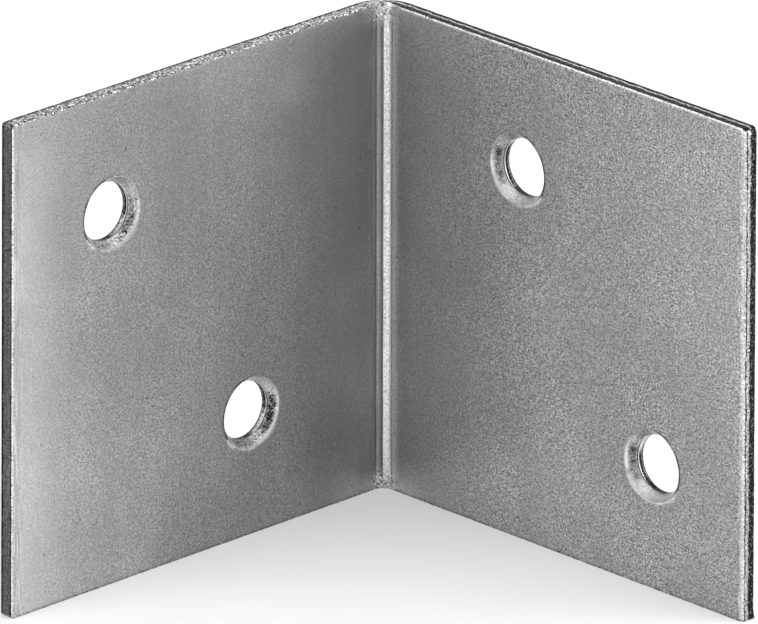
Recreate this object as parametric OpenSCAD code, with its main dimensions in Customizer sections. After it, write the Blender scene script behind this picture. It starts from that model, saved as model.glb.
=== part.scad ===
// Wide angle bracket: one square-cut strip of zinc-plated sheet steel, folded once at a right angle.
// The two leaves stand on their bottom edges. Each has two countersunk screw holes, set on a
// diagonal, whose cones open on the inside faces.
// Origin: middle of the bounding box, at the height of the bottom edges. +Z runs up along the fold.
// The heel of the fold is at -X +Y. The left leaf runs from it towards -Y, the right one towards +X.

/* [Sheet] */
// Outside length of each leaf, from the heel to its free end
leaf_length = 50; // [40:0.5:80]
// Width of the strip, measured along the fold
strip_width = 49.5; // [40:0.5:100]
// Thickness of the steel sheet
sheet_t = 1.5; // [1.2:0.1:3]

/* [Fold] */
// Radius on the inside of the fold
fold_inner_r = 1.4; // [0.6:0.1:3]

/* [Cut edges] */
// Radius of the four free corners, seen square on to a leaf
corner_r = 1; // [0.5:0.1:4]
// How far the rolled lip of the cut reaches in from a free end, on the inside face
roll_width = 0.9; // [0.3:0.1:1.5]
// How deep the rolled lip has sunk where it meets the cut
roll_depth = 0.12; // [0.05:0.01:0.3]

/* [Screw holes] */
// Diameter of the straight part of each screw hole
hole_d = 5.8; // [4:0.1:7]
// Depth of the countersink below the inside face
countersink_depth = 0.9; // [0.4:0.05:1]
// Full angle of the countersink cone
countersink_angle = 90; // [60:5:120]
// From the free end of a leaf to the middle of its outer hole
outer_hole_inset = 12.4; // [8:0.1:16]
// From the heel to the middle of each inner hole
inner_hole_from_heel = 19.5; // [14:0.1:22]
// From the top edge to the middle of the upper holes
top_hole_inset = 12.1; // [8:0.1:18]
// From the bottom edge to the middle of the lower holes
bottom_hole_inset = 12.4; // [8:0.1:18]
// How far the punched pattern sits off the fold, towards the right leaf
pattern_shift = 0.45; // [0:0.05:1]

/* [Hidden] */
$fn = 128;

// Cutters run this far past the faces that they cut
overrun = 1;
hole_r = hole_d / 2;
fold_outer_r = fold_inner_r + sheet_t;
// Length of each leaf that stays flat, from the end of the fold to the free end
flat_length = leaf_length - fold_outer_r;
// The heel, where the two outside faces would meet
heel = [-leaf_length / 2, leaf_length / 2];
fold_centre = heel + [fold_outer_r, -fold_outer_r];
upper_hole_z = strip_width - top_hole_inset;
lower_hole_z = bottom_hole_inset;
// Arc that leaves the inside face smoothly at roll_width and is roll_depth down at the cut
roll_r = (pow(roll_width, 2) + pow(roll_depth, 2)) / (2 * roll_depth);

// The left leaf is the right one mirrored across the plane that halves the fold
module on_left_leaf() {
    mirror([1, 1, 0]) children();
}

// What is cut from the corner between an end face at x = 0 and an inside face at y = 0
module rolled_lip() {
    difference() {
        translate([-roll_width, -roll_depth])
            square([roll_width + overrun, roll_depth + overrun]);
        translate([-roll_width, -roll_r]) circle(r = roll_r);
    }
}

// Right leaf seen along the fold, from the fold to its free end with the rolled lip
module leaf_profile() {
    difference() {
        translate([fold_centre.x, heel.y - sheet_t]) square([flat_length, sheet_t]);
        translate([heel.x + leaf_length, heel.y - sheet_t]) mirror([0, 1]) rolled_lip();
    }
}

// Quarter ring that joins the two leaves
module fold_profile() {
    translate(fold_centre) intersection() {
        difference() {
            circle(r = fold_outer_r);
            circle(r = fold_inner_r);
        }
        translate([-fold_outer_r, 0]) square(fold_outer_r);
    }
}

module folded_strip() {
    linear_extrude(height = strip_width) {
        fold_profile();
        leaf_profile();
        on_left_leaf() leaf_profile();
    }
}

// Frame of the right leaf: x from the heel, y up the leaf, z out of its inside face
module in_leaf_frame() {
    translate([heel.x, heel.y - sheet_t, 0]) rotate([90, 0, 0]) children();
}

// Straight hole and the countersink that opens at z = 0
module screw_hole() {
    cone_h = countersink_depth + overrun;
    translate([0, 0, -sheet_t - overrun]) cylinder(r = hole_r, h = sheet_t + 2 * overrun);
    translate([0, 0, -countersink_depth])
        cylinder(r1 = hole_r, r2 = hole_r + cone_h * tan(countersink_angle / 2), h = cone_h);
}

// What is cut from a square corner at the origin to leave it round
module corner_rounding() {
    translate([0, 0, -sheet_t - overrun]) linear_extrude(height = sheet_t + 2 * overrun)
        difference() {
            translate([-corner_r, -corner_r]) square(corner_r + overrun);
            translate([-corner_r, -corner_r]) circle(r = corner_r);
        }
}

// Both holes and both free corners of one leaf
module leaf_cuts(outer_z, inner_z, shift) {
    in_leaf_frame() {
        translate([leaf_length - outer_hole_inset + shift, outer_z, 0]) screw_hole();
        translate([inner_hole_from_heel + shift, inner_z, 0]) screw_hole();
        translate([leaf_length, strip_width, 0]) corner_rounding();
        translate([leaf_length, 0, 0]) mirror([0, 1, 0]) corner_rounding();
    }
}

module bracket() {
    color("silver") difference() {
        folded_strip();
        leaf_cuts(lower_hole_z, upper_hole_z, pattern_shift);
        on_left_leaf() leaf_cuts(upper_hole_z, lower_hole_z, -pattern_shift);
    }
}

bracket();
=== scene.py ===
import math
from collections import namedtuple

import bmesh
import bpy
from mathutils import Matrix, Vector, noise


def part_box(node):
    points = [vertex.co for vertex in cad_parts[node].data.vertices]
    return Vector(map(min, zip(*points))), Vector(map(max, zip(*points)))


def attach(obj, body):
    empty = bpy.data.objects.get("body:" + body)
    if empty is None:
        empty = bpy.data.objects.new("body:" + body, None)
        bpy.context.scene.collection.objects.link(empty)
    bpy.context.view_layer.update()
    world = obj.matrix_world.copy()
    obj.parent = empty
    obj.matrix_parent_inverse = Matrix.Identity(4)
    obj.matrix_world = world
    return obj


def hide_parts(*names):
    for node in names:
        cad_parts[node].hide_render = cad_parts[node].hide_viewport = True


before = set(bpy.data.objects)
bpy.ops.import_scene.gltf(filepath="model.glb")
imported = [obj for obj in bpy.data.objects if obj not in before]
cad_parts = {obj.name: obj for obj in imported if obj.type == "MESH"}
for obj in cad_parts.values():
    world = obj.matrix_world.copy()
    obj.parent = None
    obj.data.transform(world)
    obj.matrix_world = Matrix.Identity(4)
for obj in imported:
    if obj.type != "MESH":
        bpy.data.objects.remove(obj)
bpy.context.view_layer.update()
MM = 0.001

# Camera
# A long lens two metres off looks down into the open side of the bracket, a little to the right
# of the line that halves the fold.
camera_azimuth = math.radians(45.81)
camera_elevation = math.radians(21.10)
camera_distance = 1.9315
camera_aim = Vector((-28.1, 27.4, 15.6)) * MM


def direction(azimuth, elevation):
    """Unit vector at an azimuth from -Y towards +X and at an elevation, both in radians."""
    return Vector((
        math.sin(azimuth) * math.cos(elevation),
        -math.cos(azimuth) * math.cos(elevation),
        math.sin(elevation),
    ))


camera_back = direction(camera_azimuth, camera_elevation)
camera_data = bpy.data.cameras.new("camera")
camera_data.lens = 957.9
camera_data.clip_start = 0.1
camera_data.clip_end = 20
camera = bpy.data.objects.new("camera", camera_data)
camera.location = camera_aim + camera_back * camera_distance
camera.rotation_mode = "QUATERNION"
camera.rotation_quaternion = (-camera_back).to_track_quat("-Z", "Y")
bpy.context.scene.collection.objects.link(camera)
bpy.context.scene.camera = camera
bpy.context.scene.view_settings.view_transform = "Standard"

# Bracket: blank
# One square-cut strip of 1.5 mm sheet, pierced while it is flat. Here x runs along the blank from
# the fold, y across it and z out of the inside face.
bracket_low, bracket_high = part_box("bracket")
leaf_length = bracket_high.x - bracket_low.x
strip_width = bracket_high.z - bracket_low.z
sheet_t = 1.5 * MM
fold_inner_r = 1.4 * MM
fold_outer_r = fold_inner_r + sheet_t
neutral_share = 0.42
neutral_r = fold_inner_r + neutral_share * sheet_t
fold_half = math.pi / 4 * neutral_r
blank_half = leaf_length - fold_outer_r + fold_half

hole_r = 2.9 * MM
rim_r = 3.6 * MM
countersink_depth = 0.9 * MM
pattern_shift = 0.45 * MM
outer_hole_inset = 12.4 * MM
top_hole_inset = 12.1 * MM
bottom_hole_inset = 12.4 * MM
outer_hole_from_heel = leaf_length - outer_hole_inset
inner_hole_from_heel = 19.5 * MM
upper_hole_y = strip_width - top_hole_inset
lower_hole_y = bottom_hole_inset

# Where a hole lies and how far its countersink drifted along the blank. In degrees, where the drill
# smeared the cone, where the cone carries a painted highlight, where it left a burr and how far
# that spreads, where it broke out, and where a painted shadow darkens the land. Last, as shares,
# how much the cone is smeared, how strong its painted highlight is and how broken up it is.
ScrewHole = namedtuple(
    "ScrewHole", "place drift smeared shone burr burr_spread spur shadow smear shine speckle")


def along_blank(from_heel):
    """Distance from the middle of the fold on the flat blank."""
    return from_heel - fold_outer_r + fold_half


outer_left_x = -along_blank(outer_hole_from_heel - pattern_shift)
inner_left_x = -along_blank(inner_hole_from_heel - pattern_shift)
inner_right_x = along_blank(inner_hole_from_heel + pattern_shift)
outer_right_x = along_blank(outer_hole_from_heel + pattern_shift)
holes = [
    ScrewHole(
        place=Vector((outer_left_x, upper_hole_y, 0)), drift=0.10 * MM,
        smeared=-25, shone=40, burr=-52, burr_spread=75, spur=222, shadow=20,
        smear=0.45, shine=0.05, speckle=0.9),
    ScrewHole(
        place=Vector((inner_left_x, lower_hole_y, 0)), drift=0.08 * MM,
        smeared=-16, shone=42, burr=-50, burr_spread=95, spur=222, shadow=25,
        smear=1.0, shine=0.7, speckle=0.75),
    ScrewHole(
        place=Vector((inner_right_x, upper_hole_y, 0)), drift=-0.30 * MM,
        smeared=186, shone=258, burr=248, burr_spread=95, spur=317, shadow=188,
        smear=0.8, shine=0.9, speckle=0.3),
    ScrewHole(
        place=Vector((outer_right_x, lower_hole_y, 0)), drift=-0.22 * MM,
        smeared=190, shone=262, burr=242, burr_spread=108, spur=322, shadow=215,
        smear=0.8, shine=1.0, speckle=0.3),
]

# The flat blank starts as a grid: fine steps along the cuts and over the fold, wider ones between,
# and a square patch round each hole, which rings of faces then fill
cell = 0.4 * MM
cells_round_hole = 24
patch_half = cell * cells_round_hole / 2
slack = cell / 4
edge_steps = [0, 0.08 * MM, 0.2 * MM, 0.4 * MM, 0.65 * MM, 0.95 * MM, 1.3 * MM]
fold_cell = 0.17 * MM
fold_gap = 0.2 * MM
pressed_beside_fold = 1.3 * MM


def ruled(stops, pitch):
    """Lines through every stop, with the lengths between divided to about the pitch."""
    lines = [stops[0]]
    for start, stop in zip(stops, stops[1:]):
        count = max(1, round((stop - start) / pitch))
        lines += [start + (stop - start) * i / count for i in range(1, count + 1)]
    return lines


def beside(places):
    """The two sides of the square round each place."""
    return [place + side for place in sorted(set(places)) for side in (-patch_half, patch_half)]


far_edge_steps = list(reversed(edge_steps))
fold_edge = fold_half + pressed_beside_fold
columns = (
    ruled([-blank_half + step for step in edge_steps] + beside([outer_left_x, inner_left_x])
          + [-fold_edge - fold_gap], cell)
    + ruled([-fold_edge, fold_edge], fold_cell)
    + ruled([fold_edge + fold_gap] + beside([inner_right_x, outer_right_x])
            + [blank_half - step for step in far_edge_steps], cell)
)
rows = ruled(
    edge_steps + beside([lower_hole_y, upper_hole_y])
    + [strip_width - step for step in far_edge_steps],
    cell,
)

blank = bmesh.new()
column_count = len(columns) - 1
row_count = len(rows) - 1
bmesh.ops.create_grid(blank, x_segments=column_count, y_segments=row_count, size=0.5)
for vert in blank.verts:
    vert.co.x = columns[round((vert.co.x + 0.5) * column_count)]
    vert.co.y = rows[round((vert.co.y + 0.5) * row_count)]


def in_square(point, hole, half):
    """Whether a point of the blank lies in the square of that half width round a hole."""
    return max(abs(point.x - hole.place.x), abs(point.y - hole.place.y)) < half


def on_circle(offset):
    """The direction that spreads the points of a square evenly round a circle."""
    along, across = sorted((abs(offset.x), abs(offset.y)), reverse=True)
    angle = math.atan2(offset.y, offset.x)
    side = round(angle / (math.pi / 2)) * math.pi / 2
    angle = side + math.copysign(across / along, angle - side) * math.pi / 4
    return Vector((math.cos(angle), math.sin(angle), 0))


rings_round_hole = 6
for hole in holes:
    pierced = [
        face for face in blank.faces if in_square(face.calc_center_bounds(), hole, patch_half)
    ]
    bmesh.ops.delete(blank, geom=pierced, context="FACES")
    square = [
        edge for edge in blank.edges
        if edge.is_boundary and all(in_square(v.co, hole, patch_half + slack) for v in edge.verts)
    ]
    square_verts = {vert for edge in square for vert in edge.verts}
    ring = bmesh.ops.extrude_edge_only(blank, edges=square)
    rim = [item for item in ring["geom"] if isinstance(item, bmesh.types.BMVert)]
    for vert in rim:
        vert.co = hole.place + on_circle(vert.co - hole.place) * rim_r
    rungs = [
        edge for vert in rim for edge in vert.link_edges if edge.other_vert(vert) in square_verts
    ]
    bmesh.ops.subdivide_edges(blank, edges=rungs, cuts=rings_round_hole - 1, use_grid_fill=True)

# The pierced face is doubled at the back of the sheet, and the walls between are cut into steps
wall_steps = 14
inside_faces = list(blank.faces)
back = bmesh.ops.extrude_face_region(blank, geom=inside_faces, use_keep_orig=True)
back_verts = [item for item in back["geom"] if isinstance(item, bmesh.types.BMVert)]
bmesh.ops.translate(blank, verts=back_verts, vec=(0, 0, -sheet_t))
walls = [edge for edge in blank.edges if abs(edge.verts[0].co.z - edge.verts[1].co.z) > sheet_t / 2]
bmesh.ops.subdivide_edges(blank, edges=walls, cuts=wall_steps - 1, use_grid_fill=True)
bmesh.ops.recalc_face_normals(blank, faces=blank.faces)

# Bracket: countersinks
# A drill opened each punched hole into a cone on the inside face, a little off its middle. It left
# a straight land below, turned lines on the cone and a broken burr on the rim. The bright line of
# the burr is partly burnish and partly painted highlight, the bright part of each cone is painted
# highlight, and the dark parts of the land are painted shadow.
torn = blank.verts.layers.float.new("torn")
polished = blank.verts.layers.float.new("polished")
speckled = blank.verts.layers.float.new("speckled")
turned = blank.verts.layers.float.new("turned")
cone_steps = 8
ring_crowding = 1.7
rim_wander = 0.035 * MM
burr_height = 0.045 * MM
burr_width = 0.28 * MM
spur_height = 0.10 * MM
chatter_depth = 0.008 * MM
chatter_waves = 24

# How far the drill's traces spread round a hole, in degrees either way
spur_spread = 16
smear_spread = 46
smeared_line_spread = 60
shadow_spread = 62
speckle_spread = 80
shine_spread = 100

# The side of each rim away from the fold is darker, and the bottom of each hole has painted shade
left_grime_aim = 160
right_grime_aim = 20
grime_spread = 85
underside_aim = 262
underside_spread = 42
underside_share = 0.9


def fade(value, start, stop):
    """0 before start, 1 after stop, smooth between."""
    share = min(1.0, max(0.0, (value - start) / (stop - start)))
    return share * share * (3 - 2 * share)


def held(value):
    """The value kept between 0 and 1."""
    return min(1.0, max(0.0, value))


def ragged(point, size, seed):
    """Noise from about -1 to 1 that changes over about the size given."""
    return noise.noise(point / size + Vector((0, 0, 17.3 * seed)))


def facing(angle, aim, spread):
    """1 where an angle meets the aim, 0 past the spread on either side, all in degrees."""
    off = abs((angle - aim + 180) % 360 - 180)
    return 1 - fade(off, spread * 0.5, spread)


def banded(share, stops):
    """Value at a share of the way along straight lines between (share, value) stops."""
    for (start, low), (stop, high) in zip(stops, stops[1:]):
        if share <= stop:
            return low + (high - low) * max(0.0, share - start) / (stop - start)
    return stops[-1][1]


def sink_hole(vert, number, hole, offset):
    """Shape a hole and its rings, and mark the drill's traces, painted highlights and shadows."""
    level = round(-vert.co.z / sheet_t * wall_steps)
    outward = offset.normalized()
    angle = math.degrees(math.atan2(outward.y, outward.x))
    broken = held(0.9 + 0.8 * ragged(outward, 0.12, number + 5))
    burr = facing(angle, hole.burr, hole.burr_spread) * broken
    spur = facing(angle, hole.spur, spur_spread)
    raised = burr_height * burr + spur_height * spur
    burr = max(burr, spur)
    grime_aim = left_grime_aim if hole.place.x < 0 else right_grime_aim
    grime = facing(angle, grime_aim, grime_spread)
    underside = underside_share * facing(angle, underside_aim, underside_spread)
    drift = Vector((hole.drift, 0, 0))
    rim_here = rim_r + rim_wander * ragged(outward, 0.35, number + 1)
    square_edge = patch_half / max(abs(outward.x), abs(outward.y))
    past_rim = (offset.length - rim_r) / (square_edge - rim_r)
    reach = max(0.0, past_rim) ** ring_crowding
    if past_rim > 0.001 and level == 0:
        # rings of the inside face, drawn in towards the rim
        radius = rim_here + (square_edge - rim_here) * reach
        near = max(0.0, 1 - (radius - rim_here) / burr_width)
        # painted highlight on the flank of the burr
        vert[polished] = burr * (1 - fade(radius - rim_here, 0.10 * MM, 0.24 * MM))
        vert[speckled] = hole.speckle * near
        outline = 1 - fade(radius - rim_here, 0.06 * MM, 0.17 * MM)
        vert[torn] = max(0.35 * near * (1 - burr), grime * outline)
        vert.co = hole.place + drift * (1 - reach) + outward * radius
        vert.co.z = raised * near ** 2
        return
    if past_rim > 0.001:
        # rings of the outside face, drawn in to the hole
        vert.co = hole.place + outward * (hole_r + (square_edge - hole_r) * reach)
        vert.co.z = -sheet_t
        return
    if level > cone_steps:
        # the straight land
        share = (level - cone_steps) / (wall_steps - cone_steps)
        vert.co = hole.place + outward * hole_r
        vert.co.z = -countersink_depth - (sheet_t - countersink_depth) * share
        # painted shadow on the land, on its dark side and at its bottom
        dark = max(facing(angle, hole.shadow, shadow_spread), underside)
        edge_dark = max(0.4, underside)
        vert[torn] = banded(share, (
            (0, 0), (0.15, dark), (0.6, dark), (0.75, edge_dark), (0.88, 0.9), (1, 1)))
        vert[polished] = banded(share, ((0, 0.9), (0.35, 0.9 * (1 - dark)), (0.6, 0.3), (1, 0)))
        vert[speckled] = 0.6 * hole.speckle
        return
    # the cone, from its rim at share 0 to the land at share 1
    share = 0.5 - 0.5 * math.cos(math.pi * level / cone_steps)
    middle = math.sin(math.pi * share)
    radius = rim_here + (hole_r - rim_here) * share
    depth = countersink_depth * share - raised * (1 - share) ** 8
    depth += chatter_depth * math.sin(chatter_waves * math.radians(angle) + 5 * share) * middle
    vert.co = hole.place + drift * (1 - share) + outward * radius
    vert.co.z = -depth
    smear = facing(angle, hole.smeared, smear_spread) * middle
    vert[turned] = (radius - hole_r) / (rim_r - hole_r) if 0 < level < cone_steps else 0.0
    vert[torn] = held(0.9 * hole.smear * smear + 0.35 * ragged(vert.co, 0.5 * MM, number + 9))
    broken_up = held(0.5 + smear + facing(angle, hole.burr, speckle_spread))
    vert[speckled] = hole.speckle * broken_up * middle
    # painted highlight along the rim and on one part of the cone
    rim_shine = burr * (1 - fade(share, 0.14, 0.38))
    cone_shine = hole.shine * facing(angle, hole.shone, shine_spread) * middle
    vert[polished] = max(rim_shine, cone_shine)
    vert[torn] *= 1 - rim_shine
    # the rim's edge: partly burnish and partly painted highlight, darker on the side away from the
    # fold
    if level == 0:
        vert[polished] = (0.35 + 0.65 * burr) * (1 - grime)
        vert[torn] = grime
    # painted shade at the foot of the cone, at the bottom of the hole
    if level == cone_steps:
        vert[polished] = 0.9 * (1 - underside)
        vert[torn] = 0.6 * underside
    if level == cone_steps - 1:
        vert[torn] = 0.9 * facing(angle, hole.smeared, smeared_line_spread)


# Bracket: sheared edges
# The shear rolls the inside arris over, burnishes part of the cut and tears the rest. The free
# ends come from a clean blade, the upper edge of the left leaf from a chipped one. The bright line
# along each rolled arris is partly burnish and partly painted highlight.
# Width and depth of the rolled arris, how far the torn part stands back, how ragged the line of
# the cut is, how dark the cut is from the inside face to the outside one as (share of the sheet,
# darkness) stops, below 0 where it is burnished, how speckled it and its arris are, how bright its
# arris is, partly burnish and partly painted highlight, how much darker it is by the arris, and a
# seed
Cut = namedtuple("Cut", "roll_width roll_depth recess waver bands mottle speckle arris grime seed")
left_end = Cut(
    roll_width=0.14 * MM, roll_depth=0.05 * MM, recess=0.02 * MM, waver=0.008 * MM,
    bands=((0, 1), (0.10, 1), (0.17, 0.75), (0.80, 0.75), (0.86, 1), (1, 1)),
    mottle=0.15, speckle=0.8, arris=0.9, grime=0.0, seed=21)
right_end = Cut(
    roll_width=0.85 * MM, roll_depth=0.13 * MM, recess=0.06 * MM, waver=0.015 * MM,
    bands=((0, 1), (0.10, 1), (0.17, 0.1), (0.40, 0.2), (0.46, 1), (1, 1)),
    mottle=0.5, speckle=0.8, arris=0.45, grime=0.0, seed=22)
top_left = Cut(
    roll_width=0.14 * MM, roll_depth=0.04 * MM, recess=0.04 * MM, waver=0.050 * MM,
    bands=((0, 0.35), (0.75, 0.35), (0.85, 0.9), (1, 1)),
    mottle=0.8, speckle=0.8, arris=0.0, grime=0.6, seed=23)
top_right = Cut(
    roll_width=0.20 * MM, roll_depth=0.05 * MM, recess=0.03 * MM, waver=0.020 * MM,
    bands=(
        (0, 0.8), (0.07, 1), (0.36, 1), (0.55, 0.9), (0.62, -0.4), (0.66, -0.3), (0.72, 1), (1, 1)),
    mottle=0.3, speckle=0.8, arris=0.8, grime=0.0, seed=24)
bottom_side = Cut(
    roll_width=0.14 * MM, roll_depth=0.04 * MM, recess=0.03 * MM, waver=0.015 * MM,
    bands=((0, 0.3), (0.40, 0.4), (0.50, 0.9), (1, 0.9)),
    mottle=0.6, speckle=0.6, arris=0.1, grime=0.6, seed=25)
cut_reach = 1.3 * MM
lip_reach = 0.3 * MM
touching = 1e-7
steady_beside_fold = 3 * MM
scuffed = blank.verts.layers.float.new("scuffed")
scuff_start = 0.4 * MM
scuff_width = 1.9 * MM


def rolled(distance, width, depth):
    """How far a rolled arris of that width and depth has sunk at a distance from the cut."""
    if distance >= width:
        return 0.0
    radius = (width ** 2 + depth ** 2) / (2 * depth)
    return radius - math.sqrt(radius ** 2 - (width - distance) ** 2)


def shear(vert, cut, distance, along, outward, steady=0.0):
    """Shape and mark a vertex near a cut: straighter, with less painted arris highlight, where
    steady.
    """
    if distance > cut_reach:
        return
    down = -vert.co.z / sheet_t
    place = Vector((along, down * sheet_t, 0))
    line = Vector((along, 0, 0))
    wander = ragged(line, 1.1 * MM, cut.seed) + 0.6 * ragged(line, 0.5 * MM, cut.seed + 0.4)
    shifted = held(down + 0.10 * ragged(line, 0.7 * MM, cut.seed + 0.7))
    recess = cut.recess * fade(shifted, 0.4, 0.52) * (1 + 0.5 * ragged(place, 0.4 * MM, cut.seed))
    hold = 1 - fade(distance, 0, cut_reach)
    vert.co += outward * (cut.waver * wander * (1 - steady) - recess) * hold
    sunk = rolled(distance, cut.roll_width, cut.roll_depth) * (1 + 0.4 * wander * cut.speckle)
    vert.co.z -= sunk * (1 - down)
    if distance > touching:
        near = max(0.0, 1 - distance / lip_reach) * (1 - down)
        # the band by the arris takes its brightness: partly burnish and partly painted highlight
        rub_start = min(0.45 * cut.roll_width, 0.22 * MM)
        rub_stop = min(0.95 * cut.roll_width, 0.55 * MM)
        rubbed = (1 - fade(distance, rub_start, rub_stop)) * (1 - down)
        vert[speckled] = max(vert[speckled], cut.speckle * near)
        vert[torn] = max(vert[torn], cut.grime * near)
        vert[polished] = max(vert[polished], cut.arris * rubbed * (1 - steady))
    elif down < 0.01:
        vert[polished] = cut.arris * (1 - steady)
        vert[torn] = cut.grime
        vert[speckled] = max(vert[speckled], cut.speckle)
    else:
        darkness = banded(shifted, cut.bands)
        vert[torn] = max(vert[torn], darkness)
        vert[polished] = max(vert[polished], -darkness)
        vert[speckled] = max(vert[speckled], cut.mottle)


for vert in blank.verts:
    x, y = vert.co.x, vert.co.y
    number, hole = min(enumerate(holes), key=lambda item: (vert.co.xy - item[1].place.xy).length)
    offset = Vector((x, y, 0)) - hole.place
    if in_square(vert.co, hole, patch_half - slack):
        sink_hole(vert, number, hole, offset)
        continue
    high_up = 0.45 * fade(y, 20 * MM, 36 * MM)
    by_fold = 1 - fade(abs(x), fold_half, fold_half + steady_beside_fold)
    top_side = top_left if x < 0 else top_right
    shear(vert, left_end, blank_half + x, y, Vector((-1, 0, 0)))
    shear(vert, right_end, blank_half - x, y, Vector((1, 0, 0)), high_up)
    shear(vert, top_side, strip_width - y, x, Vector((0, 1, 0)), by_fold)
    shear(vert, bottom_side, y, x, Vector((0, -1, 0)), by_fold)
    if vert.co.z > -sheet_t / 2:
        vert[scuffed] = 1 - fade(blank_half - abs(x), scuff_start, scuff_width)

# The free corners are blunted by drawing each square corner in to a quarter circle. Their radii go
# by the leaf, left -1 or right 1, and the edge, lower -1 or upper 1.
corner_radii = {(-1, -1): 0.35 * MM, (-1, 1): 0.35 * MM, (1, -1): 0.15 * MM, (1, 1): 0.6 * MM}
corner_burr = 0.16 * MM
for vert in blank.verts:
    leaf = 1 if vert.co.x > 0 else -1
    edge = 1 if vert.co.y > strip_width / 2 else -1
    corner_r = corner_radii[leaf, edge]
    in_x = abs(vert.co.x) - (blank_half - corner_r)
    in_y = abs(vert.co.y - strip_width / 2) - (strip_width / 2 - corner_r)
    if in_x > 0 and in_y > 0:
        pull = max(in_x, in_y) / math.hypot(in_x, in_y)
        vert.co.x = leaf * (blank_half - corner_r + in_x * pull)
        vert.co.y = strip_width / 2 + edge * (strip_width / 2 - corner_r + in_y * pull)
        vert[torn] *= 0.8 if leaf < 0 else 1.0
        # the blunted corners keep a little painted highlight
        vert[polished] = max(0.5 * vert[polished], 0.2 * held(min(in_x, in_y) / (0.1 * MM)))
    if leaf > 0 and edge < 0:
        # the lower right corner was pushed out into a burr
        pushed = 1 - fade(vert.co.y, 0, 0.9 * MM)
        pushed *= 1 - fade(blank_half - vert.co.x, 0, cut_reach)
        vert.co.x += corner_burr * pushed * (0.3 - 0.7 * vert.co.z / sheet_t)

# Bracket: fold
# The blank is folded once, square, round a punch with a worn nose of 1.4 mm radius. The nose
# polished bands along the fold and flattened the grain beside it, and the squeezed inside swells
# out at both ends. The bands also carry painted highlight and painted shade, and the faces carry
# painted light and shade.
across = blank.verts.layers.float.new("across")
pressed = blank.verts.layers.float.new("pressed")
coarse = blank.verts.layers.float.new("coarse")
sheen = blank.verts.layers.float.new("sheen")
swell = 0.14 * MM
swell_half = 1.4 * MM
bruised_half = 2.4 * MM
lip_width = 1.3 * MM
lip_depth = 0.18 * MM

# How far the cut of the left end runs out of square at its upper and lower corner
upper_skew = 0.27 * MM
lower_skew = -0.30 * MM

# The blank lay a little askew on the die, so the bands lean from the bottom to the top
band_lean = 0.07 * MM

# Pale smudges and paler patches of the faces: place on the blank, half width, half height and
# how much paler
smudges = [
    (Vector((-32.4, 31.0)) * MM, 2.6 * MM, 1.8 * MM, 0.12),
    (Vector((-12.2, 44.0)) * MM, 3.2 * MM, 2.2 * MM, 0.19),
    (Vector((-24.0, 22.0)) * MM, 5.0 * MM, 9.0 * MM, 0.12),
    (Vector((23.0, 22.0)) * MM, 5.0 * MM, 10.0 * MM, 0.13),
    (Vector((11.0, 13.0)) * MM, 6.0 * MM, 6.5 * MM, 0.15),
]
crease_x = -22.9 * MM
crease_half = 0.45 * MM
crease_paler = 0.05

# The grain is weaker on the left leaf, and on both leaves near the fold
left_grain = 0.60
right_grain = 0.85

# The marks of the inside face reach this share of the sheet down
marked_share = 0.06

# The fold turns about a line that lies inside it, along the heel
heel = Vector((bracket_low.x, bracket_high.y, bracket_low.z))
fold_centre = heel + Vector((fold_outer_r, -fold_outer_r, 0))

# Edges sharper than this stay sharp
sharp_angle = math.radians(32)


def grain_here(x, y):
    """How strongly the grain shows at a place of the inside faces."""
    strength = 0.45 + 0.55 * fade(abs(x), 4 * MM, 18 * MM)
    if x >= 0:
        return right_grain * strength
    strength *= 0.45 + 0.55 * fade(blank_half + x, 2 * MM, 12 * MM)
    return left_grain * strength * (1 - 0.3 * fade(y, 30 * MM, 42 * MM))


def left_sheen(x, y):
    """Painted shade by the fold, low down and high up on the left face, painted light by its end."""
    from_fold = -x
    by_fold = fade(from_fold, 0.6 * fold_half, 1.1 * fold_half)
    by_fold *= 1 - fade(from_fold, fold_half, 20 * MM)
    by_fold *= 0.45 + 0.55 * fade(y, 8 * MM, 28 * MM)
    line_by_fold = fade(from_fold, 0.6 * fold_half, fold_half)
    line_by_fold *= 1 - fade(from_fold, 2.2 * MM, 4.4 * MM)
    low_down = (1 - fade(y, 3 * MM, 14 * MM)) * fade(from_fold, 4 * MM, 9 * MM)
    low_down *= 1 - fade(from_fold, 26 * MM, 34 * MM)
    high_up = fade(y, 38 * MM, 47 * MM) * fade(from_fold, 18 * MM, 32 * MM)
    by_end = 1 - fade(blank_half - from_fold, 0.3 * MM, 8 * MM)
    by_end *= 1 - 0.6 * fade(y, 45 * MM, 49 * MM)
    return 0.30 * by_end - 0.34 * by_fold - 0.10 * line_by_fold - 0.26 * low_down - 0.13 * high_up


def right_sheen(x, y):
    """Painted light by the fold on the right face, painted shade low down."""
    by_fold = fade(x, 0.6 * fold_half, 1.1 * fold_half) * (1 - fade(x, fold_half, 12 * MM))
    by_end = fade(x, 22 * MM, 36 * MM)
    low_down = (1 - fade(y, 0, 8 * MM)) * fade(x, 2 * MM, 7 * MM) * (1 - by_end)
    low_by_end = by_end * (1 - fade(y, 10 * MM, 32 * MM))
    return 0.12 * by_fold - 0.20 * low_down - 0.20 * low_by_end


def smudged(x, y):
    """How much paler the smudges and the crease leave a place of the inside faces."""
    creased = math.exp(-((x - crease_x) / crease_half) ** 2) * fade(y, 20 * MM, 28 * MM)
    total = crease_paler * creased
    for place, half_width, half_height, paler in smudges:
        off = math.hypot((x - place.x) / half_width, (y - place.y) / half_height)
        total += paler * math.exp(-off ** 2)
    return total


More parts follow.
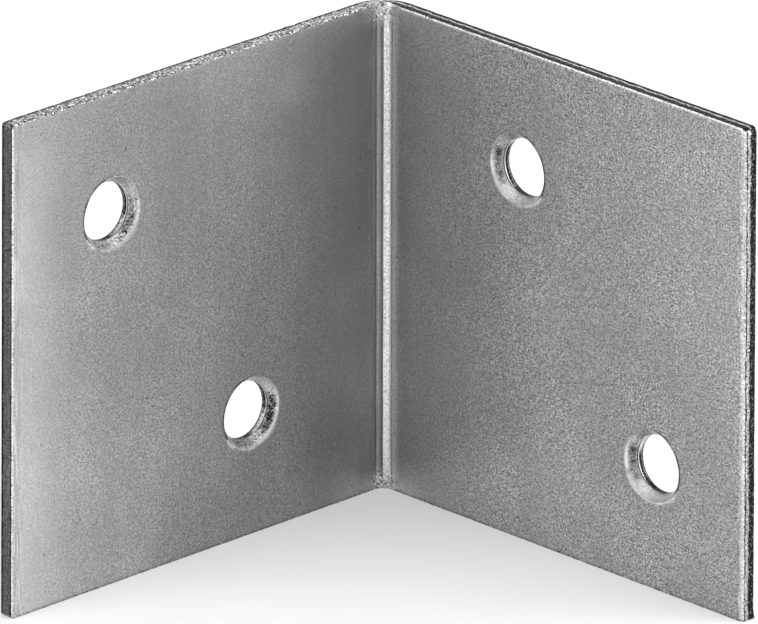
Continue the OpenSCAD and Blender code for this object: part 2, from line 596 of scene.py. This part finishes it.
for vert in blank.verts:
    x, y, depth = vert.co.x, vert.co.y, -vert.co.z
    down = depth / sheet_t
    to_side = min(y, strip_width - y)
    squeeze = math.exp(-(x / swell_half) ** 2)
    vert[coarse] = grain_here(x, y)
    if x < 0:
        skew = lower_skew + (upper_skew - lower_skew) * y / strip_width
        x += skew * fade(-x, blank_half - 8 * MM, blank_half - 1 * MM)
    outside = 1 if y > strip_width / 2 else -1
    y += outside * swell * squeeze * (1 - 2 * down) * (1 - fade(to_side, 0, 3 * MM))
    depth += rolled(max(0.0, to_side), lip_width, lip_depth) * squeeze * max(0.0, 1 - down)
    vert[across] = (x - band_lean * (2 * y / strip_width - 1)) / fold_half
    if down < marked_share:
        vert[pressed] = fade(to_side, 1.0 * MM, 1.35 * MM) * (1 - fade(abs(x), fold_half, fold_edge))
        bruised = math.exp(-(x / bruised_half) ** 2) * (1 - fade(to_side, 1.1 * MM, 2.6 * MM))
        vert[speckled] = max(vert[speckled], 0.9 * bruised)
        vert[polished] = max(vert[polished], 0.3 * bruised)
        # painted light and shade of the faces, with the smudges and the crease
        vert[sheen] = (left_sheen(x, y) if x < 0 else right_sheen(x, y)) + smudged(x, y)
    if x > fold_half:
        vert.co = fold_centre + Vector((x - fold_half, fold_inner_r + depth, y))
    elif x < -fold_half:
        vert.co = fold_centre + Vector((-fold_inner_r - depth, x + fold_half, y))
    else:
        angle = math.pi * 3 / 4 - x / fold_half * math.pi / 4
        radius = fold_inner_r + depth
        vert.co = fold_centre + Vector((radius * math.cos(angle), radius * math.sin(angle), y))
bmesh.ops.recalc_face_normals(blank, faces=blank.faces)
for edge in blank.edges:
    edge.smooth = not (edge.is_manifold and edge.calc_face_angle() > sharp_angle)
for face in blank.faces:
    face.smooth = True

bracket_mesh = bpy.data.meshes.new("zinc_bracket")
blank.to_mesh(bracket_mesh)
blank.free()
bracket = bpy.data.objects.new("zinc_bracket", bracket_mesh)
bpy.context.scene.collection.objects.link(bracket)
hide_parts("bracket")
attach(bracket, "root")

# Zinc plating
# Thin satin zinc over cold-rolled steel: a fine pickled grain, faint clouds and rolling marks,
# small pits. Torn cuts are dull and dark, and what a tool rubbed is smooth and bright.
zinc = bpy.data.materials.new("satin_zinc")
zinc.use_nodes = True
zinc_nodes = zinc.node_tree.nodes
zinc_links = zinc.node_tree.links
zinc_shader = zinc_nodes["Principled BSDF"]
zinc_shader.inputs["Metallic"].default_value = 1.0
zinc_grey = 0.43
torn_grey = 0.015
polished_grey = 0.92
object_place = zinc_nodes.new("ShaderNodeTexCoord").outputs["Object"]


def grain(grains_per_metre, detail):
    """Noise over the object with that many grains per metre along x, y and z."""
    spread_out = zinc_nodes.new("ShaderNodeMapping")
    spread_out.inputs["Scale"].default_value = grains_per_metre
    zinc_links.new(object_place, spread_out.inputs["Vector"])
    cloud = zinc_nodes.new("ShaderNodeTexNoise")
    cloud.inputs["Scale"].default_value = 1.0
    cloud.inputs["Detail"].default_value = detail
    zinc_links.new(spread_out.outputs["Vector"], cloud.inputs["Vector"])
    return cloud.outputs["Fac"]


def feed(socket, value):
    """Set a socket to a number, or join it to the socket that the value comes from."""
    if isinstance(value, (int, float)):
        socket.default_value = value
    else:
        zinc_links.new(value, socket)


def worked(operation, first, second):
    """Result of a maths operation on two values, each a socket or a number."""
    maths = zinc_nodes.new("ShaderNodeMath")
    maths.operation = operation
    feed(maths.inputs[0], first)
    feed(maths.inputs[1], second)
    return maths.outputs["Value"]


def ranged(value, low, high, new_low, new_high):
    """A value carried from one range to another and held inside it."""
    carried = zinc_nodes.new("ShaderNodeMapRange")
    carried.inputs["From Min"].default_value = low
    carried.inputs["From Max"].default_value = high
    carried.inputs["To Min"].default_value = new_low
    carried.inputs["To Max"].default_value = new_high
    zinc_links.new(value, carried.inputs["Value"])
    return carried.outputs["Result"]


def blended(share, first, second):
    """First where share is 0, second where it is 1."""
    mix = zinc_nodes.new("ShaderNodeMix")
    feed(mix.inputs["Factor"], share)
    feed(mix.inputs["A"], first)
    feed(mix.inputs["B"], second)
    return mix.outputs["Result"]


def stepped(value, stops):
    """Grey along a ramp of (place, grey) stops."""
    ramp = zinc_nodes.new("ShaderNodeValToRGB")
    elements = ramp.color_ramp.elements
    while len(elements) < len(stops):
        elements.new(0.5)
    for element, (place, grey) in zip(elements, stops):
        element.position = place
        element.color = (grey, grey, grey, 1)
    zinc_links.new(value, ramp.inputs["Fac"])
    return ramp.outputs["Color"]


def mark(name):
    """A mark that the mesh carries."""
    attribute = zinc_nodes.new("ShaderNodeAttribute")
    attribute.attribute_name = name
    return attribute.outputs["Fac"]


pickled = grain((2900, 2900, 3800), 2)
crystals = grain((5200, 5200, 6800), 1)
clouds = grain((130, 130, 110), 4)
rolling = grain((900, 900, 80), 3)
pits = stepped(grain((1500, 1500, 1900), 1), [(0.0, 0), (0.73, 0), (0.78, 1)])
fracture = grain((4200, 4200, 5200), 3)
glints = grain((4600, 4600, 4600), 2)

pickled_tone = ranged(pickled, 0.2, 0.8, 0.6, 1.4)
speck = worked("MULTIPLY", pickled_tone, ranged(crystals, 0.25, 0.75, 0.2, 1.8))
grain_mark = worked("MULTIPLY", mark("coarse"), ranged(clouds, 0.35, 0.65, 0.8, 1.15))
speck = blended(grain_mark, 1.0, speck)
# The faces' painted light and shade, with their smudges, scale the tone
tone = worked("MULTIPLY", speck, worked("ADD", mark("sheen"), 1.0))
tone = worked("MULTIPLY", tone, ranged(clouds, 0.2, 0.8, 0.86, 1.14))
tone = worked("MULTIPLY", tone, ranged(rolling, 0.2, 0.8, 0.96, 1.04))
tone = worked("MULTIPLY", tone, ranged(pits, 0, 1, 1.0, 0.65))

# Across the inside of the fold: dark lines where the nose's flanks ended, and the rubbed bands,
# both partly painted highlight and painted shade, at up to twice the plain tone
bend_place = ranged(mark("across"), -1.5, 1.5, 0, 1)
bend_tone = stepped(bend_place, [
    (0.10, 0.46), (0.22, 0.38), (0.26, 0.20), (0.29, 0.20), (0.31, 0.36), (0.335, 0.38),
    (0.37, 0.32), (0.45, 0.14), (0.495, 0.14), (0.515, 0.54), (0.62, 0.56), (0.68, 0.90),
    (0.735, 1.0), (0.752, 0.34), (0.77, 0.34), (0.79, 0.92), (0.83, 1.0), (0.88, 0.95),
    (0.94, 0.75), (1.0, 0.58),
])
bend_polish = stepped(bend_place, [
    (0.26, 0), (0.31, 0.2), (0.49, 0.2), (0.52, 1), (0.73, 1), (0.755, 0.1),
])
drawn = grain((7000, 7000, 260), 2)
in_fold = mark("pressed")
tone = worked("MULTIPLY", tone, blended(in_fold, 1.0, worked("MULTIPLY", bend_tone, 2.0)))

# Painted highlight: the brightest band is painted brighter towards the bottom
height = zinc_nodes.new("ShaderNodeSeparateXYZ")
zinc_links.new(object_place, height.inputs["Vector"])
rubbed_low = ranged(height.outputs["Z"], 4 * MM, 24 * MM, 1.9, 1.35)
fold_polish = worked("MULTIPLY", bend_polish, in_fold)
tone = worked("MULTIPLY", tone, blended(fold_polish, 1.0, rubbed_low))
tone = worked("MULTIPLY", tone, blended(in_fold, 1.0, ranged(drawn, 0.25, 0.75, 0.78, 1.22)))

# Beside the free ends the guide of the shear scuffed the face in lines along the cut
scuffs = grain((4200, 4200, 350), 2)
tone = worked("MULTIPLY", tone, blended(mark("scuffed"), 1.0, ranged(scuffs, 0.3, 0.7, 0.68, 1.30)))

# Lines that the drill turned on the cones, by the share of the way from the hole to the rim
turned_mark = mark("turned")
turned_lines = zinc_nodes.new("ShaderNodeTexNoise")
turned_lines.noise_dimensions = "1D"
turned_lines.inputs["Scale"].default_value = 11.0
turned_lines.inputs["Detail"].default_value = 2.0
zinc_links.new(turned_mark, turned_lines.inputs["W"])
on_cone = ranged(turned_mark, 0.02, 0.10, 0, 1)
turned_tone = ranged(turned_lines.outputs["Fac"], 0.3, 0.7, 0.7, 1.5)
tone = worked("MULTIPLY", tone, blended(on_cone, 1.0, turned_tone))

# Torn metal is dark and rubbed metal bright, and specks of both break up where it is speckled.
# The same marks also carry painted shade in the holes and painted highlights on arrises, rims and
# cones.
speckle_mark = mark("speckled")
dark_specks = worked("MULTIPLY", speckle_mark, ranged(fracture, 0.50, 0.62, 0.0, 0.9))
bright_specks = worked("MULTIPLY", speckle_mark, ranged(glints, 0.52, 0.64, 0.0, 0.9))
torn_here = worked("ADD", mark("torn"), dark_specks)
torn_here = worked("SUBTRACT", torn_here, worked("MULTIPLY", bright_specks, 0.7))
torn_here = ranged(torn_here, 0, 1, 0, 1)
polish_here = ranged(worked("ADD", mark("polished"), bright_specks), 0, 1, 0, 1)
grey = ranged(worked("MULTIPLY", tone, zinc_grey), 0, 0.95, 0, 0.95)
grey = blended(polish_here, grey, polished_grey)
grey = blended(torn_here, grey, torn_grey)
zinc_links.new(grey, zinc_shader.inputs["Base Color"])

roughness = ranged(clouds, 0.2, 0.8, 0.46, 0.38)
roughness = blended(fold_polish, roughness, 0.24)
roughness = blended(torn_here, roughness, 0.7)
zinc_links.new(roughness, zinc_shader.inputs["Roughness"])

relief = worked("SUBTRACT", pickled, worked("MULTIPLY", pits, 0.4))
relief = worked("ADD", relief, worked("MULTIPLY", crystals, 0.5))
relief = worked("ADD", relief, worked("MULTIPLY", rolling, 0.2))
torn_relief = worked("MULTIPLY", worked("MULTIPLY", fracture, 1.5), speckle_mark)
relief = worked("ADD", relief, torn_relief)
bump = zinc_nodes.new("ShaderNodeBump")
bump.inputs["Strength"].default_value = 1.0
bump.inputs["Distance"].default_value = 0.03 * MM
zinc_links.new(relief, bump.inputs["Height"])
zinc_links.new(bump.outputs["Normal"], zinc_shader.inputs["Normal"])
bracket_mesh.materials.append(zinc)

# Studio
# A pale sweep under an even pale sky, with soft disc lamps: low and high ones on both sides of the
# open side of the bracket, and one low behind it.
floor_half = 4
floor_sheet = bmesh.new()
bmesh.ops.create_grid(floor_sheet, x_segments=1, y_segments=1, size=floor_half)
floor_mesh = bpy.data.meshes.new("floor")
floor_sheet.to_mesh(floor_mesh)
floor_sheet.free()
floor = bpy.data.objects.new("floor", floor_mesh)
bpy.context.scene.collection.objects.link(floor)

pale = bpy.data.materials.new("pale_floor")
pale.use_nodes = True
pale_nodes = pale.node_tree.nodes
pale_links = pale.node_tree.links
pale_shader = pale_nodes["Principled BSDF"]
pale_shader.inputs["Base Color"].default_value = (0.8, 0.8, 0.8, 1)
pale_shader.inputs["Roughness"].default_value = 0.9
pale_shader.inputs["Specular IOR Level"].default_value = 0.0
pale_shader.inputs["Emission Color"].default_value = (1, 1, 1, 1)
floor_glow = 0.27
rays = pale_nodes.new("ShaderNodeLightPath")
seen = rays.outputs["Is Camera Ray"]
for kind in ("Is Glossy Ray", "Is Transmission Ray"):
    either = pale_nodes.new("ShaderNodeMath")
    either.operation = "MAXIMUM"
    pale_links.new(seen, either.inputs[0])
    pale_links.new(rays.outputs[kind], either.inputs[1])
    seen = either.outputs["Value"]
glow = pale_nodes.new("ShaderNodeMath")
glow.operation = "MULTIPLY"
glow.inputs[1].default_value = floor_glow
pale_links.new(seen, glow.inputs[0])
pale_links.new(glow.outputs["Value"], pale_shader.inputs["Emission Strength"])
floor_mesh.materials.append(pale)

world = bpy.data.worlds.new("studio")
world.use_nodes = True
world.node_tree.nodes["Background"].inputs["Color"].default_value = (1, 1, 1, 1)
world.node_tree.nodes["Background"].inputs["Strength"].default_value = 0.5
bpy.context.scene.world = world

lamp_aim = Vector((-8, 8, 25)) * MM
lamp_distance = 0.7
lamp_width = 0.45


def soft_lamp(name, turn, height, watts):
    """Disc lamp, turned that many degrees to the right of the camera and that many up."""
    towards = direction(camera_azimuth + math.radians(turn), math.radians(height))
    light = bpy.data.lights.new(name, "AREA")
    light.shape = "DISK"
    light.size = lamp_width
    light.energy = watts
    lamp = bpy.data.objects.new(name, light)
    lamp.location = lamp_aim + towards * lamp_distance
    lamp.rotation_mode = "QUATERNION"
    lamp.rotation_quaternion = towards.to_track_quat("Z", "Y")
    bpy.context.scene.collection.objects.link(lamp)


soft_lamp("right", 90, 15, 3.3)
soft_lamp("left", -60, 15, 2.2)
soft_lamp("high_right", 60, 45, 1.45)
soft_lamp("high_left", -60, 45, 0.25)
soft_lamp("behind", 180, 15, 1.0)
